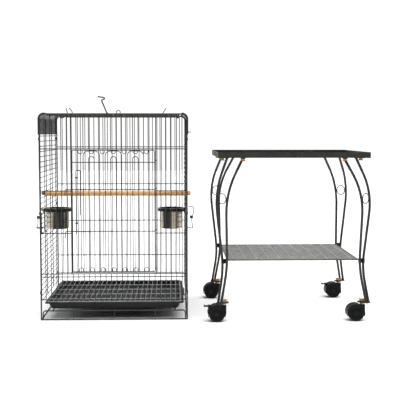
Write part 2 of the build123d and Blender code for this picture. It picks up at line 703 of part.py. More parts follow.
def shelf():
    wires = []
    half = SHELF_HALF
    ring = [(half, half), (-half, half), (-half, -half), (half, -half)]
    for k in range(4):
        x1, y1 = ring[k]
        x2, y2 = ring[(k + 1) % 4]
        shorten = SHELF_EDGE / 2
        dx = (x2 > x1) - (x2 < x1)
        dy = (y2 > y1) - (y2 < y1)
        start = (x1 - dx * shorten, y1 - dy * shorten, SHELF_Z)
        wires.append(rod(start, (x2 - dx * shorten, y2 - dy * shorten, SHELF_Z), SHELF_EDGE))
    inner = half - SHELF_EDGE / 2
    for k in range(-16, 17):
        y = k * SHELF_THIN_PITCH
        wires.append(rod((-inner, y, SHELF_Z), (inner, y, SHELF_Z), SHELF_THIN))
    thick_z = SHELF_Z + SHELF_THIN / 2 + SHELF_THICK / 2
    for k in range(-5, 6):
        x = k * SHELF_THICK_PITCH
        wires.append(rod((x, -inner, thick_z), (x, inner, thick_z), SHELF_THICK))
    return wires


def shelf_clamps():
    pieces = []
    inner = (SHELF_HALF + SHELF_EDGE / 2) * 2 ** 0.5
    for sx, sy in CORNERS.values():
        out = Vector(sx, sy, 0).normalized()
        middle = out * (inner + CLAMP[0] / 2) + Vector(0, 0, CLAMP_Z)
        plane = Plane(origin=middle, x_dir=out, z_dir=(0, 0, 1))
        body = plane * Box(*CLAMP)
        pieces.append(fillet(body.edges().filter_by(Axis.Z), 2).solid())
    return pieces


# ---- casters ----
def caster_stem(sx, sy):
    x, y = sx * STEM_AT, sy * STEM_AT
    pin = cylinder((x, y, SOCKET_TOP - 24), (0, 0, 1), 30, STEM_R)
    collar = cylinder((x, y, SOCKET_TOP + 2), (0, 0, 1), FOOT_TOP - FOOT_T - SOCKET_TOP - 2, 7.5)
    thread = cylinder((x, y, FOOT_TOP - FOOT_T), (0, 0, 1), 11, 5)
    return [(pin + collar + thread).solid()]


def caster_nut(sx, sy):
    return [hexagon((sx * STEM_AT, sy * STEM_AT, FOOT_TOP), (0, 0, 1), 5.5, 15, 5)]


def caster_hood(sx, sy, braked):
    x, y = sx * STEM_AT, sy * STEM_AT
    hub = x - TRAIL
    side = Plane(origin=(hub, y, WHEEL_R), x_dir=(1, 0, 0), z_dir=(0, -1, 0))
    web = extrude(side * Circle(WHEEL_R - 4), WEB_HALF, both=True)
    socket = block((x - 12, y - WEB_HALF, 22), (x + 8, y + WEB_HALF, SOCKET_TOP))
    shell = extrude(side * (Circle(HOOD_R) - Circle(HOOD_R - HOOD_T)), WHEEL_OUT, both=True)
    low = block((hub - 60, y - 60, -10), (hub + 60, y + 60, 16))
    bridge = block((hub - 3, y - WEB_HALF, WHEEL_R + 15), (hub + 3, y + WEB_HALF, WHEEL_R + HOOD_R - 1))
    hood = web + socket + (shell - low) + bridge
    if braked:
        pin_x, pin_z = hub + PEDAL_PIN[0], WHEEL_R + PEDAL_PIN[1]
        for lug_y in (-11.5, 11.5):
            low_end = (pin_x - 2.5, y + lug_y - 1.5, pin_z - 9)
            lug = block(low_end, (pin_x + 5, y + lug_y + 1.5, pin_z + 2.5))
            wheel_room = cylinder((hub, y + lug_y - 5, WHEEL_R), (0, 1, 0), 10, HOOD_R - HOOD_T)
            hood = hood + (lug - wheel_room)
        hood = hood + cylinder((pin_x, y - 13, pin_z), (0, 1, 0), 26, PEDAL_PIN_R)
    hood = hood - cylinder((x, y, SOCKET_TOP - 24.5), (0, 0, 1), 30, STEM_R + PIN_GAP)
    hood = hood - cylinder((hub, y - 40, WHEEL_R), (0, 1, 0), 80, AXLE_R)
    return [hood.solid()]


def caster_axle(sx, sy):
    hub = sx * STEM_AT - TRAIL
    y = sy * STEM_AT
    return [cylinder((hub, y - WHEEL_OUT + 1, WHEEL_R), (0, 1, 0), 2 * WHEEL_OUT - 2, AXLE_R)]


def caster_wheels(sx, sy):
    hub = sx * STEM_AT - TRAIL
    wheels = []
    for side in (-1, 1):
        face = (hub, sy * STEM_AT + side * WHEEL_IN, WHEEL_R)
        disc = cylinder(face, (0, side, 0), WHEEL_OUT - WHEEL_IN, WHEEL_R)
        disc = fillet(disc.edges().filter_by(GeomType.CIRCLE), 2.5)
        outside = (hub, sy * STEM_AT + side * (WHEEL_OUT - 1.5), WHEEL_R)
        disc = disc - eye(outside, (0, side, 0), 3.2, 9, 18)
        bore = cylinder((hub, face[1] - side, WHEEL_R), (0, side, 0), 20, AXLE_R + PIN_GAP)
        wheels.append((disc - bore).solid())
    return wheels


def brake_pedal(sx, sy):
    hub = sx * STEM_AT - TRAIL
    y = sy * STEM_AT
    pin_x, pin_z = hub + PEDAL_PIN[0], WHEEL_R + PEDAL_PIN[1]
    knuckle = eye((pin_x, y, pin_z), (0, 1, 0), 19, PEDAL_PIN_R + PIN_GAP, 3.3)
    plate = block((pin_x - 16, y - 9.5, pin_z - 1.2), (pin_x - 2.4, y + 9.5, pin_z + 1.6))
    toe = block((pin_x - 16, y - 9.5, pin_z - 1.2), (pin_x - 13, y + 9.5, pin_z + 3.2))
    return [(knuckle + plate + toe).solid()]


def build():
    os.makedirs("parts", exist_ok=True)
    cage = Pos(CAGE_X, CAGE_FRONT, 0)
    stand = Pos(STAND_X, STAND_Y, 0)
    save("front_panel", front_panel(), cage)
    save("back_panel", back_panel(), cage)
    save("roof_rails", roof_rails(), cage)
    save("panel_clips", panel_clips(), cage)
    save("base_frame", base_frame(), cage)
    save("cover_peg", cover_peg(), cage)
    save("perch_dowel", perch_dowel(), cage)
    save("perch_screws", perch_screws(), cage)
    save("perch_knob", perch_end(1, 15, 7.5, 4), cage)
    save("perch_nut", perch_end(-1, 11, 5.5, 2.5), cage)
    save("feeder_bolts", feeder_bolts(), cage)
    for name, side in SIDES.items():
        save(f"side_panel_{name}", side_panel(side), cage)
        save(f"corner_cover_{name}", corner_cover(side), cage)
        save(f"feeder_ring_{name}", feeder_ring(side), cage)
        save(f"feeder_cup_{name}", feeder_cup(side), cage)
        save(f"feeder_flap_{name}", feeder_flap(side), cage)
        save(f"feeder_handle_{name}", feeder_handle(side, name == "left"), cage)
    save("front_door", front_door(), cage)
    save("door_arcs", door_arcs(), cage)
    save("latch_guides", latch_guides(), cage)
    save("door_latch", door_latch(), cage)
    save("latch_handle", latch_handle(), cage)
    save("roof_left", roof_left(), cage)
    save("roof_right", roof_right(), cage)
    save("roof_latch", roof_latch(), cage)
    save("roof_catch", roof_catch(), cage)
    save("tray", tray(), cage)
    save("floor_grille", floor_grille(), cage)
    save("stand_top_frame", stand_top_frame(), stand)
    save("leg_bolts", leg_bolts(), stand)
    save("leg_nuts", leg_nuts(), stand)
    save("shelf", shelf(), stand)
    save("shelf_clamps", shelf_clamps(), stand)
    save("caster_stems", [caster_stem(*c)[0] for c in CORNERS.values()], stand)
    save("caster_nuts", [caster_nut(*c)[0] for c in CORNERS.values()], stand)
    for name, (sx, sy) in CORNERS.items():
        save(f"leg_{name}", leg(sx, sy), stand)
        save(f"caster_hood_{name}", caster_hood(sx, sy, name in BRAKED), stand)
        save(f"caster_axle_{name}", caster_axle(sx, sy), stand)
        save(f"caster_wheels_{name}", caster_wheels(sx, sy), stand)
        if name in BRAKED:
            save(f"brake_pedal_{name}", brake_pedal(sx, sy), stand)


build()
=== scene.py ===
import json
import math
import random

import bmesh
import bpy
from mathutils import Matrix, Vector


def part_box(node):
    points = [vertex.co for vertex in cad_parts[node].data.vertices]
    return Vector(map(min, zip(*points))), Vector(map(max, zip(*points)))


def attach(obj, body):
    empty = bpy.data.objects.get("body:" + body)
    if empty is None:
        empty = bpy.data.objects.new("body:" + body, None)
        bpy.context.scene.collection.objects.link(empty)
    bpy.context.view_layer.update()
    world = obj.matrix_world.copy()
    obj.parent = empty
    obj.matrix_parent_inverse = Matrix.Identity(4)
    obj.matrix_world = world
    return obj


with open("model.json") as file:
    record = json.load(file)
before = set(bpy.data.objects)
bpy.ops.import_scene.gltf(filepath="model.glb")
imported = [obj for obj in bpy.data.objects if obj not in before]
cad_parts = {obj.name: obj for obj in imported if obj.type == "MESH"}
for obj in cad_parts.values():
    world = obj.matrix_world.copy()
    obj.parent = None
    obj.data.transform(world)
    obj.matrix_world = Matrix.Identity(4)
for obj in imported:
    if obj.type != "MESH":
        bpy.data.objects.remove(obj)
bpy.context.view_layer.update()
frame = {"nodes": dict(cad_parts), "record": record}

MM = 0.001
SIDES = ("left", "right")
CORNERS = ("front_left", "front_right", "back_left", "back_right")
CAGE_WIRES = ("front_panel", "back_panel", "side_panel_left", "side_panel_right", "base_frame")
dice = random.Random(7)


# ---------------------------------------------------------------- places read from the frame
def low(node):
    return Vector(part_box(node)[0])


def high(node):
    return Vector(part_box(node)[1])


def middle(node):
    return (low(node) + high(node)) / 2


HEAVY_WIRE = 0.0021
SHELF_LAYER = high("shelf").z - HEAVY_WIRE    # under this height lie the shelf's thin wires
SHELF_EDGE = 0.004                            # width of the shelf's edge wire
CAP_DEPTH = 0.5 * MM                          # thinner loose surfaces are flat end caps


def islands(node):
    """Boxes of a node's loose surfaces, flat end caps left out."""
    mesh = frame["nodes"][node].data
    owner = list(range(len(mesh.vertices)))

    def root(index):
        while owner[index] != index:
            owner[index] = owner[owner[index]]
            index = owner[index]
        return index

    for edge in mesh.edges:
        one, two = (root(index) for index in edge.vertices)
        owner[max(one, two)] = min(one, two)
    groups = {}
    for vertex in mesh.vertices:
        groups.setdefault(root(vertex.index), []).append(vertex.co)
    boxes = []
    for points in groups.values():
        first = Vector([min(p[k] for p in points) for k in range(3)])
        last = Vector([max(p[k] for p in points) for k in range(3)])
        if min(last - first) > CAP_DEPTH:
            boxes.append((first, last))
    return boxes


# ---------------------------------------------------------------- shader helpers
class Surface:
    """A Principled material with object-space textures in metres."""

    def __init__(self, name):
        self.material = bpy.data.materials.new(name)
        self.material.use_nodes = True
        self.tree = self.material.node_tree
        self.shader = self.tree.nodes["Principled BSDF"]
        self.coords = self.tree.nodes.new("ShaderNodeTexCoord").outputs["Object"]

    def node(self, kind, **settings):
        made = self.tree.nodes.new(kind)
        for name, value in settings.items():
            setattr(made, name, value)
        return made

    def link(self, source, target):
        self.tree.links.new(source, target)

    def stretched(self, x, y, z):
        """Coordinates scaled along each axis, for streaks and grain."""
        mapping = self.node("ShaderNodeMapping")
        mapping.inputs["Scale"].default_value = (x, y, z)
        self.link(self.coords, mapping.inputs["Vector"])
        return mapping.outputs["Vector"]

    def noise(self, scale, detail=3.0, rough=0.55, coords=None, distortion=0.0):
        noise = self.node("ShaderNodeTexNoise")
        noise.inputs["Scale"].default_value = scale
        noise.inputs["Detail"].default_value = detail
        noise.inputs["Roughness"].default_value = rough
        noise.inputs["Distortion"].default_value = distortion
        self.link(coords or self.coords, noise.inputs["Vector"])
        return noise.outputs["Fac"]

    def cells(self, scale, feature="F1"):
        voronoi = self.node("ShaderNodeTexVoronoi", feature=feature)
        voronoi.inputs["Scale"].default_value = scale
        self.link(self.coords, voronoi.inputs["Vector"])
        return voronoi.outputs["Distance"]

    def spread(self, value, to_low, to_high, from_low=0.3, from_high=0.7):
        ranged = self.node("ShaderNodeMapRange")
        ranged.inputs["From Min"].default_value = from_low
        ranged.inputs["From Max"].default_value = from_high
        ranged.inputs["To Min"].default_value = to_low
        ranged.inputs["To Max"].default_value = to_high
        self.link(value, ranged.inputs["Value"])
        return ranged.outputs["Result"]

    def ramp(self, value, *stops):
        """Colours at their places along value."""
        owner = self.node("ShaderNodeValToRGB")
        elements = owner.color_ramp.elements
        while len(elements) < len(stops):
            elements.new(0.5)
        for element, (at, colour) in zip(elements, stops):
            element.position = at
            element.color = (*colour, 1)
        self.link(value, owner.inputs["Fac"])
        return owner.outputs["Color"]

    def mixed(self, amount, one, two):
        factor, first, second, result = 0, 6, 7, 2      # the Mix node's colour sockets
        mix = self.node("ShaderNodeMix", data_type="RGBA")
        for value, socket in ((amount, factor), (one, first), (two, second)):
            if isinstance(value, bpy.types.NodeSocket):
                self.link(value, mix.inputs[socket])
            else:
                mix.inputs[socket].default_value = (*value, 1)
        return mix.outputs[result]

    def maths(self, operation, one, two=0.5):
        node = self.node("ShaderNodeMath", operation=operation)
        for index, value in enumerate((one, two)):
            if isinstance(value, bpy.types.NodeSocket):
                self.link(value, node.inputs[index])
            else:
                node.inputs[index].default_value = value
        return node.outputs[0]

    def layered(self, main, extra, share):
        """Main height with a share of an extra one added."""
        return self.maths("ADD", main, self.maths("MULTIPLY", extra, share))

    def bump(self, height, strength, depth):
        bump = self.node("ShaderNodeBump")
        bump.inputs["Strength"].default_value = strength
        bump.inputs["Distance"].default_value = depth
        self.link(height, bump.inputs["Height"])
        self.link(bump.outputs["Normal"], self.shader.inputs["Normal"])

    def set(self, **values):
        for name, value in values.items():
            socket = self.shader.inputs[name.replace("_", " ")]
            if isinstance(value, bpy.types.NodeSocket):
                self.link(value, socket)
            else:
                socket.default_value = value


# ---------------------------------------------------------------- colours, linear
WIRE_DARK, WIRE_LIGHT = (0.015, 0.0155, 0.014), (0.030, 0.031, 0.028)
SHEET_DARK, SHEET_LIGHT = (0.012, 0.0145, 0.014), (0.026, 0.030, 0.029)
ENAMEL_DARK, ENAMEL_LIGHT, ENAMEL_WORN = (0.002, 0.003, 0.004), (0.005, 0.007, 0.009), (0.022, 0.025, 0.028)
THIN_DARK, THIN_LIGHT = (0.13, 0.13, 0.125), (0.26, 0.26, 0.25)
# heavier shelf wires: a painted highlight, a lighter copy of the shelf's grey for the light they catch on
# top
HEAVY_DARK, HEAVY_LIGHT = (0.36, 0.36, 0.345), (0.56, 0.56, 0.54)
EDGE_WIRE = (0.05, 0.05, 0.048)
ZINC_DARK, ZINC_LIGHT, ZINC_SPANGLE = (0.22, 0.225, 0.22), (0.40, 0.41, 0.40), (0.8, 0.8, 0.78)
# cup colours: a painted reflection of dark and beige surroundings in the steel
CUP_BLACK, CUP_DARK = (0.035, 0.034, 0.030), (0.09, 0.085, 0.075)
CUP_LIGHT, CUP_BRIGHT = (0.34, 0.30, 0.23), (0.46, 0.42, 0.34)
NYLON, NYLON_GLOSS, NYLON_SCUFF = (0.0015, 0.002, 0.002), (0.0012, 0.0016, 0.002), (0.03, 0.03, 0.033)
STEEL, YELLOW_ZINC = (0.56, 0.55, 0.53), (0.66, 0.36, 0.12)
WOOD_DARK, WOOD_MID, WOOD_LIGHT = (0.46, 0.20, 0.065), (0.74, 0.41, 0.16), (0.86, 0.55, 0.26)
WOOD_RING, WOOD_PORE = (0.52, 0.25, 0.085), (0.30, 0.13, 0.045)
FLOOR_DARK, FLOOR_LIGHT = (0.9, 0.9, 0.9), (0.92, 0.92, 0.92)


# ---------------------------------------------------------------- materials
def hammertone(name, dark, light, rough, dimple, depth):
    """Hammered grey paint: dimples, lighter flecks and patchy gloss."""
    skin = Surface(name)
    cells = skin.cells(dimple, "SMOOTH_F1")
    cloud = skin.noise(scale=28, detail=4)
    fleck = skin.noise(scale=dimple * 2.2, detail=2, rough=0.6)
    tone = skin.ramp(cloud, (0.3, dark), (0.72, light))
    bright = tuple(min(1.0, c * 2.6 + 0.05) for c in light)
    flecks = skin.spread(fleck, to_low=0, to_high=0.35, from_low=0.58, from_high=0.75)
    skin.set(Base_Color=skin.mixed(flecks, tone, bright))
    skin.set(Metallic=0.2, Specular_IOR_Level=0.35)
    skin.set(Roughness=skin.spread(skin.noise(scale=140), to_low=rough - 0.1, to_high=rough + 0.12))
    skin.set(Coat_Weight=0.1, Coat_Roughness=0.25)
    skin.bump(skin.layered(cells, fleck, share=0.25), strength=0.55, depth=depth)
    return skin.material


def inside_shelf_edge(skin, place):
    """1 within the shelf's edge wire, 0 on it."""
    centre = middle("shelf")
    half = (high("shelf").x - low("shelf").x) / 2 - SHELF_EDGE
    inside = None
    for name, at in (("X", centre.x), ("Y", centre.y)):
        offset = skin.maths("ABSOLUTE", skin.maths("SUBTRACT", place.outputs[name], at))
        within = skin.maths("LESS_THAN", offset, half)
        inside = within if inside is None else skin.maths("MULTIPLY", inside, within)
    return inside


def shelf_wire():
    """Thin wires in dull grey, the heavier wires on top of them in a lighter grey that is a painted
    highlight, and a dark edge wire.
    """
    skin = Surface("shelf_wire")
    place = skin.node("ShaderNodeSeparateXYZ")
    skin.link(skin.coords, place.inputs["Vector"])
    heavy = skin.spread(place.outputs["Z"], to_low=0, to_high=1,
                        from_low=SHELF_LAYER - 0.0002, from_high=SHELF_LAYER)
    patch = skin.noise(scale=60, detail=4, rough=0.6)
    thin = skin.ramp(patch, (0.3, THIN_DARK), (0.7, THIN_LIGHT))
    # painted highlight: the heavier wires on top take a lighter copy of the shelf's grey
    wear_and_highlight = skin.ramp(patch, (0.3, HEAVY_DARK), (0.7, HEAVY_LIGHT))
    inside = inside_shelf_edge(skin, place)
    skin.set(Base_Color=skin.mixed(inside, EDGE_WIRE, skin.mixed(heavy, thin, wear_and_highlight)))
    skin.set(Metallic=0.3)
    skin.set(Roughness=skin.spread(skin.noise(scale=180), to_low=0.34, to_high=0.52))
    skin.bump(skin.noise(scale=900, detail=2), strength=0.3, depth=0.00015)
    return skin.material


def enamel_tray():
    """Blue-black enamelled sheet with orange peel, dust and scuffs."""
    skin = Surface("tray_enamel")
    cloud = skin.noise(scale=9, detail=5, rough=0.6)
    scuff = skin.noise(scale=1, detail=4, rough=0.65, coords=skin.stretched(30, 260, 30))
    tone = skin.ramp(cloud, (0.3, ENAMEL_DARK), (0.75, ENAMEL_LIGHT))
    wear_and_highlight = skin.spread(scuff, to_low=0, to_high=0.3, from_low=0.62, from_high=0.8)
    skin.set(Base_Color=skin.mixed(wear_and_highlight, tone, ENAMEL_WORN))
    skin.set(Roughness=skin.spread(skin.noise(scale=60, detail=4), to_low=0.34, to_high=0.56))
    skin.set(Specular_IOR_Level=0.25)
    skin.bump(skin.layered(skin.noise(scale=420, detail=2), scuff, share=0.3), strength=0.25, depth=0.0004)
    return skin.material


def zinc_wire():
    """Zinc-plated wire: spangle, drawing lines and dull patches."""
    skin = Surface("zinc_wire")
    spangle = skin.spread(skin.cells(260), to_low=0, to_high=0.3, from_low=0.2, from_high=0.7)
    patch = skin.noise(scale=36, detail=4, rough=0.6)
    tone = skin.ramp(patch, (0.3, ZINC_DARK), (0.7, ZINC_LIGHT))
    skin.set(Base_Color=skin.mixed(spangle, tone, ZINC_SPANGLE))
    skin.set(Metallic=0.75)
    skin.set(Roughness=skin.spread(skin.noise(scale=180), to_low=0.28, to_high=0.5))
    skin.bump(skin.noise(scale=900, detail=2), strength=0.3, depth=0.00015)
    return skin.material


def polished_steel():
    """Deep-drawn stainless cup: draw lines, dark and beige bands down the wall that are a painted
    reflection of the surroundings, and faint handling marks.
    """
    skin = Surface("cup_stainless")
    lines = skin.noise(scale=1, detail=5, rough=0.7, coords=skin.stretched(170, 170, 5))
    marks = skin.noise(scale=90, detail=4, rough=0.6)
    reflected_band = skin.noise(scale=1, detail=2, rough=0.5, coords=skin.stretched(52, 52, 2))
    # painted reflection: dark and beige bands down the wall stand in for the mirrored surroundings
    skin.set(Base_Color=skin.ramp(reflected_band, (0.38, CUP_BLACK), (0.47, CUP_DARK),
                                  (0.54, CUP_LIGHT), (0.66, CUP_BRIGHT)))
    skin.set(Metallic=1.0)
    skin.set(Roughness=skin.spread(lines, to_low=0.12, to_high=0.3))
    skin.bump(skin.layered(lines, marks, share=0.3), strength=0.22, depth=0.0003)
    return skin.material


def turned_steel(name, colour, rough):
    """Turned metal with fine tool marks and darker stains."""
    skin = Surface(name)
    grain = skin.noise(scale=700)
    stain = skin.noise(scale=120, detail=4, rough=0.6)
    darker = tuple(c * 0.55 for c in colour)
    skin.set(Base_Color=skin.ramp(stain, (0.3, darker), (0.68, colour)))
    skin.set(Metallic=1.0)
    skin.set(Roughness=skin.spread(grain, to_low=rough - 0.08, to_high=rough + 0.14))
    skin.bump(grain, strength=0.3, depth=0.0001)
    return skin.material


def moulded_plastic(name, colour, rough, gloss):
    """Moulded nylon: fine spark grain, flow clouds and pale scuffs."""
    skin = Surface(name)
    grain = skin.noise(scale=1500, detail=2)
    cloud = skin.noise(scale=40, detail=4)
    scuff = skin.noise(scale=1, detail=4, rough=0.7, coords=skin.stretched(120, 40, 300))
    light = tuple(c * 1.9 + 0.001 for c in colour)
    tone = skin.ramp(cloud, (0.3, colour), (0.75, light))
    scuffed = skin.spread(scuff, to_low=0, to_high=0.15, from_low=0.64, from_high=0.82)
    skin.set(Base_Color=skin.mixed(scuffed, tone, NYLON_SCUFF))
    skin.set(Roughness=skin.spread(skin.noise(scale=80), to_low=rough - 0.08, to_high=rough + 0.12))
    skin.set(Specular_IOR_Level=0.2, Coat_Weight=gloss, Coat_Roughness=0.2)
    skin.bump(skin.layered(grain, scuff, share=0.4), strength=0.3, depth=0.00012)
    return skin.material


def growth_rings(skin):
    rings = skin.node("ShaderNodeTexWave", wave_type="RINGS", rings_direction="X")
    rings.inputs["Scale"].default_value = 90
    rings.inputs["Distortion"].default_value = 5
    rings.inputs["Detail"].default_value = 3
    skin.link(skin.stretched(0.12, 1, 1), rings.inputs["Vector"])
    return rings.outputs["Fac"]


def lacquered_wood():
    """Hardwood dowel: long grain along X, growth rings, pores and a thin lacquer."""
    skin = Surface("perch_wood")
    grain = skin.noise(scale=1, detail=6, rough=0.62, coords=skin.stretched(9, 240, 240), distortion=0.6)
    pores = skin.noise(scale=1, detail=3, rough=0.7, coords=skin.stretched(70, 1500, 1500))
    rings = growth_rings(skin)
    tone = skin.ramp(grain, (0.25, WOOD_DARK), (0.5, WOOD_MID), (0.75, WOOD_LIGHT))
    ringing = skin.spread(rings, to_low=0, to_high=0.35, from_low=0.3, from_high=0.9)
    ringed = skin.mixed(ringing, tone, WOOD_RING)
    pored = skin.spread(pores, to_low=0, to_high=0.5, from_low=0.62, from_high=0.8)
    skin.set(Base_Color=skin.mixed(pored, ringed, WOOD_PORE))
    skin.set(Roughness=skin.spread(grain, to_low=0.3, to_high=0.46))
    skin.set(Coat_Weight=0.35, Coat_Roughness=0.18)
    skin.bump(skin.maths("ADD", grain, pores), strength=0.25, depth=0.0003)
    return skin.material


def make_materials():
    return {
        "wire_paint": hammertone("wire_hammertone", WIRE_DARK, WIRE_LIGHT, rough=0.45, dimple=520,
                                 depth=0.0003),
        "cover_paint": hammertone("sheet_hammertone", SHEET_DARK, SHEET_LIGHT, rough=0.5, dimple=340,
                                  depth=0.0005),
        "tray_paint": enamel_tray(),
        "zinc_wire": zinc_wire(),
        "shelf": shelf_wire(),
        "cup_steel": polished_steel(),
        "black_plastic": moulded_plastic("nylon_black", NYLON, rough=0.5, gloss=0.0),
        "gloss_black_plastic": moulded_plastic("nylon_gloss_black", NYLON_GLOSS, rough=0.42, gloss=0.05),
        "wood": lacquered_wood(),
        "steel": turned_steel("turned_steel", STEEL, rough=0.34),
        "brass_fasteners": turned_steel("yellow_zinc", YELLOW_ZINC, rough=0.36),
    }


def dress_cad_nodes():
    slots = {entry["node"]: entry["material_slot"] for entry in frame["record"]["subparts"]}
    for node, obj in frame["nodes"].items():
        obj.data.materials.clear()
        obj.data.materials.append(materials["shelf" if node == "shelf" else slots[node]])


# ---------------------------------------------------------------- mesh makers
def ring_of(build, centre, across, up, radius, sides, wobble=0.0):
    verts = []
    for k in range(sides):
        angle = 2 * math.pi * k / sides
        reach = radius * (1 + wobble * dice.uniform(-1, 1))
        verts.append(build.verts.new(centre + (across * math.cos(angle) + up * math.sin(angle)) * reach))
    return verts


def bridge(build, one, two):
    count = len(one)
    for k in range(count):
        build.faces.new((one[k], one[(k + 1) % count], two[(k + 1) % count], two[k]))


def in_metres(profile):
    return [(along * MM, radius * MM) for along, radius in profile]


def circle(radius, steps):
    """Pairs of places round a circle."""
    angles = [k * math.pi / (steps / 2) for k in range(steps)]
    return [(radius * math.cos(angle), radius * math.sin(angle)) for angle in angles]


def lathe(build, place, axis, profile, sides=24, wobble=0.0):
    """Turned shape: profile is a list of (distance along the axis, radius)."""
    axis = Vector(axis).normalized()
    across = axis.orthogonal().normalized()
    up = axis.cross(across)
    rings = []
    for along, radius in profile:
        rings.append(ring_of(build, Vector(place) + axis * along, across, up, radius, sides, wobble))
    for one, two in zip(rings, rings[1:]):
        bridge(build, one, two)
    build.faces.new(rings[-1])
    build.faces.new(rings[0][::-1])


def tube(build, points, radius, sides=10, closed=False, wobble=0.0):
    """Round bead along a path."""
    points = [Vector(point) for point in points]
    count = len(points)
    rings = []
    for k, point in enumerate(points):
        before = points[k - 1] if closed or k else points[0]
        after = points[(k + 1) % count] if closed or k < count - 1 else points[-1]
        run = (after - before).normalized()
        helper = Vector((0, 0, 1)) if abs(run.z) < 0.9 else Vector((0, 1, 0))
        across = run.cross(helper).normalized()
        rings.append(ring_of(build, point, across, run.cross(across), radius, sides, wobble))
    for one, two in zip(rings, rings[1:]):
        bridge(build, one, two)
    if closed:
        bridge(build, rings[-1], rings[0])
    else:
        build.faces.new(rings[-1])
        build.faces.new(rings[0][::-1])


def finish_piece(name, build, material, body):
    bmesh.ops.recalc_face_normals(build, faces=build.faces)
    mesh = bpy.data.meshes.new(name)
    build.to_mesh(mesh)
    build.free()
    mesh.polygons.foreach_set("use_smooth", [True] * len(mesh.polygons))
    mesh.materials.append(materials[material])
    obj = bpy.data.objects.new(name, mesh)
    bpy.context.scene.collection.objects.link(obj)
    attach(obj, body)


# ---------------------------------------------------------------- welds between wires
WIRE_WIDEST = 5 * MM         # a straight wire is thinner than this
WIRE_SHORTEST = 12 * MM
TOUCH = 0.15 * MM            # wires this close are welded
SAME_LAYER = 1.2 * MM        # wires whose centres are closer than this meet end on, not crosswise
COLLAR_HALF = 0.9 * MM
COLLAR_WIDTH = 0.5           # part of the thinner wire's width
COLLAR_TAPER = 0.7
COLLAR_SIDES = 8
COLLAR_WOBBLE = 0.12


def straight_wires(nodes):
    """(axis, first corner, last corner) of every straight wire along X, Y or Z."""
    wires = []
    for node in nodes:
        for first, last in islands(node):
            size = last - first
            axis = max(range(3), key=lambda k: size[k])
            if sorted(size)[1] < WIRE_WIDEST and size[axis] > WIRE_SHORTEST:
                wires.append((axis, first, last))
    return wires


def apart(first, last, low_end, high_end):
    return any(first[k] > high_end[k] + TOUCH or low_end[k] > last[k] + TOUCH for k in range(3))


def weld_collars(name, nodes, material, body):
    """A small collar of weld metal where one straight wire crosses another."""
    build = bmesh.new()
    wires = straight_wires(nodes)
    for index, (axis, first, last) in enumerate(wires):
        for other, low_end, high_end in wires[index + 1:]:
            if other == axis or apart(first, last, low_end, high_end):
                continue
            across = 3 - axis - other
            own = (first[across] + last[across]) / 2
            its = (low_end[across] + high_end[across]) / 2
            if abs(own - its) < SAME_LAYER:
                continue
            place = Vector((0, 0, 0))
            place[axis] = (low_end[axis] + high_end[axis]) / 2
            place[other] = (first[other] + last[other]) / 2
            up = 1 if its > own else -1
            place[across] = own + up * (last[across] - first[across]) / 2
            normal = Vector((0, 0, 0))
            normal[across] = 1
            wide = min(last[other] - first[other], high_end[axis] - low_end[axis]) * COLLAR_WIDTH
            narrow = wide * COLLAR_TAPER
            profile = ((-COLLAR_HALF, narrow), (0, wide), (COLLAR_HALF, narrow))
            lathe(build, place, normal, profile, COLLAR_SIDES, COLLAR_WOBBLE)
    finish_piece(name, build, material, body)


def all_weld_collars():
    weld_collars("cage_welds", CAGE_WIRES, "wire_paint", "cage")
    weld_collars("roof_left_welds", ("roof_left",), "wire_paint", "roof_left")
    weld_collars("roof_right_welds", ("roof_right",), "wire_paint", "roof_right")
    weld_collars("door_welds", ("front_door",), "wire_paint", "front_door")
    weld_collars("grille_welds", ("floor_grille",), "zinc_wire", "floor_grille")
    weld_collars("shelf_welds", ("shelf",), "shelf", "stand")


# ---------------------------------------------------------------- feeder cups
RIM_INSET, RIM_DROP, RIM_BEAD = 1.0 * MM, 0.9 * MM, 0.95 * MM
WALL_INSET, WALL_BEAD = 4.6 * MM, 0.45 * MM
WALL_BEADS = (22 * MM, 25 * MM)               # heights of the two pressed beads
CUP_STEPS = 64


def cup_rims():
    """Rolled edge of each feeder cup, and the two beads pressed round its wall."""
    for side in SIDES:
        node = f"feeder_cup_{side}"
        centre = middle(node)
        build = bmesh.new()
        edge = (high(node).x - low(node).x) / 2 - RIM_INSET
        beads = [(edge, high(node).z - RIM_DROP, RIM_BEAD)]
        beads += [(edge - WALL_INSET, low(node).z + height, WALL_BEAD) for height in WALL_BEADS]
        for radius, z, thick in beads:
            points = [(centre.x + east, centre.y + north, z) for east, north in circle(radius, CUP_STEPS)]
            tube(build, points, thick, sides=8, closed=True)
        finish_piece(f"rolled_rim_{side}", build, "cup_steel", f"feeder_cup_{side}")


# ---------------------------------------------------------------- casters, lengths in mm
CAP_PROFILE = ((-1.4, 2.4), (-0.7, 2.4), (-0.35, 1.8), (-0.25, 0.4))
SPOKES = 7
SPOKE_START = 0.3                             # radians from +X
SPOKE_REACH = (8.6, 11, 15, 18.4)
SPOKE_DEPTH, SPOKE_R = 1.2, 1.1
WHEEL_BEADS = ((13.5, 1.6), (23.2, 0.75))     # radius, depth under the wheel's face
WHEEL_BEAD_R = 0.7
WHEEL_STEPS = 48
RIB_Y = (-16, -8, 8, 16)
RIB_START, RIB_SWEEP, RIB_STEPS = 25, 150, 24  # degrees from +X, and its points
RIB_GAP, RIB_R = 3, 0.55                      # height over the wheel, radius


def around(angle):
    """Direction in the wheel's plane."""
    return Vector((math.cos(angle), 0, math.sin(angle)))


def wheel_spokes(build, face, out):
    for k in range(SPOKES):
        run = around(2 * math.pi * k / SPOKES + SPOKE_START)
        line = [face + run * reach * MM - Vector(out) * SPOKE_DEPTH * MM for reach in SPOKE_REACH]
        tube(build, line, SPOKE_R * MM, sides=8)
    for reach, depth in WHEEL_BEADS:
        path = [face + around(k * math.pi / (WHEEL_STEPS / 2)) * reach * MM - Vector(out) * (depth * MM)
                for k in range(WHEEL_STEPS)]
        tube(build, path, WHEEL_BEAD_R * MM, sides=6, closed=True)


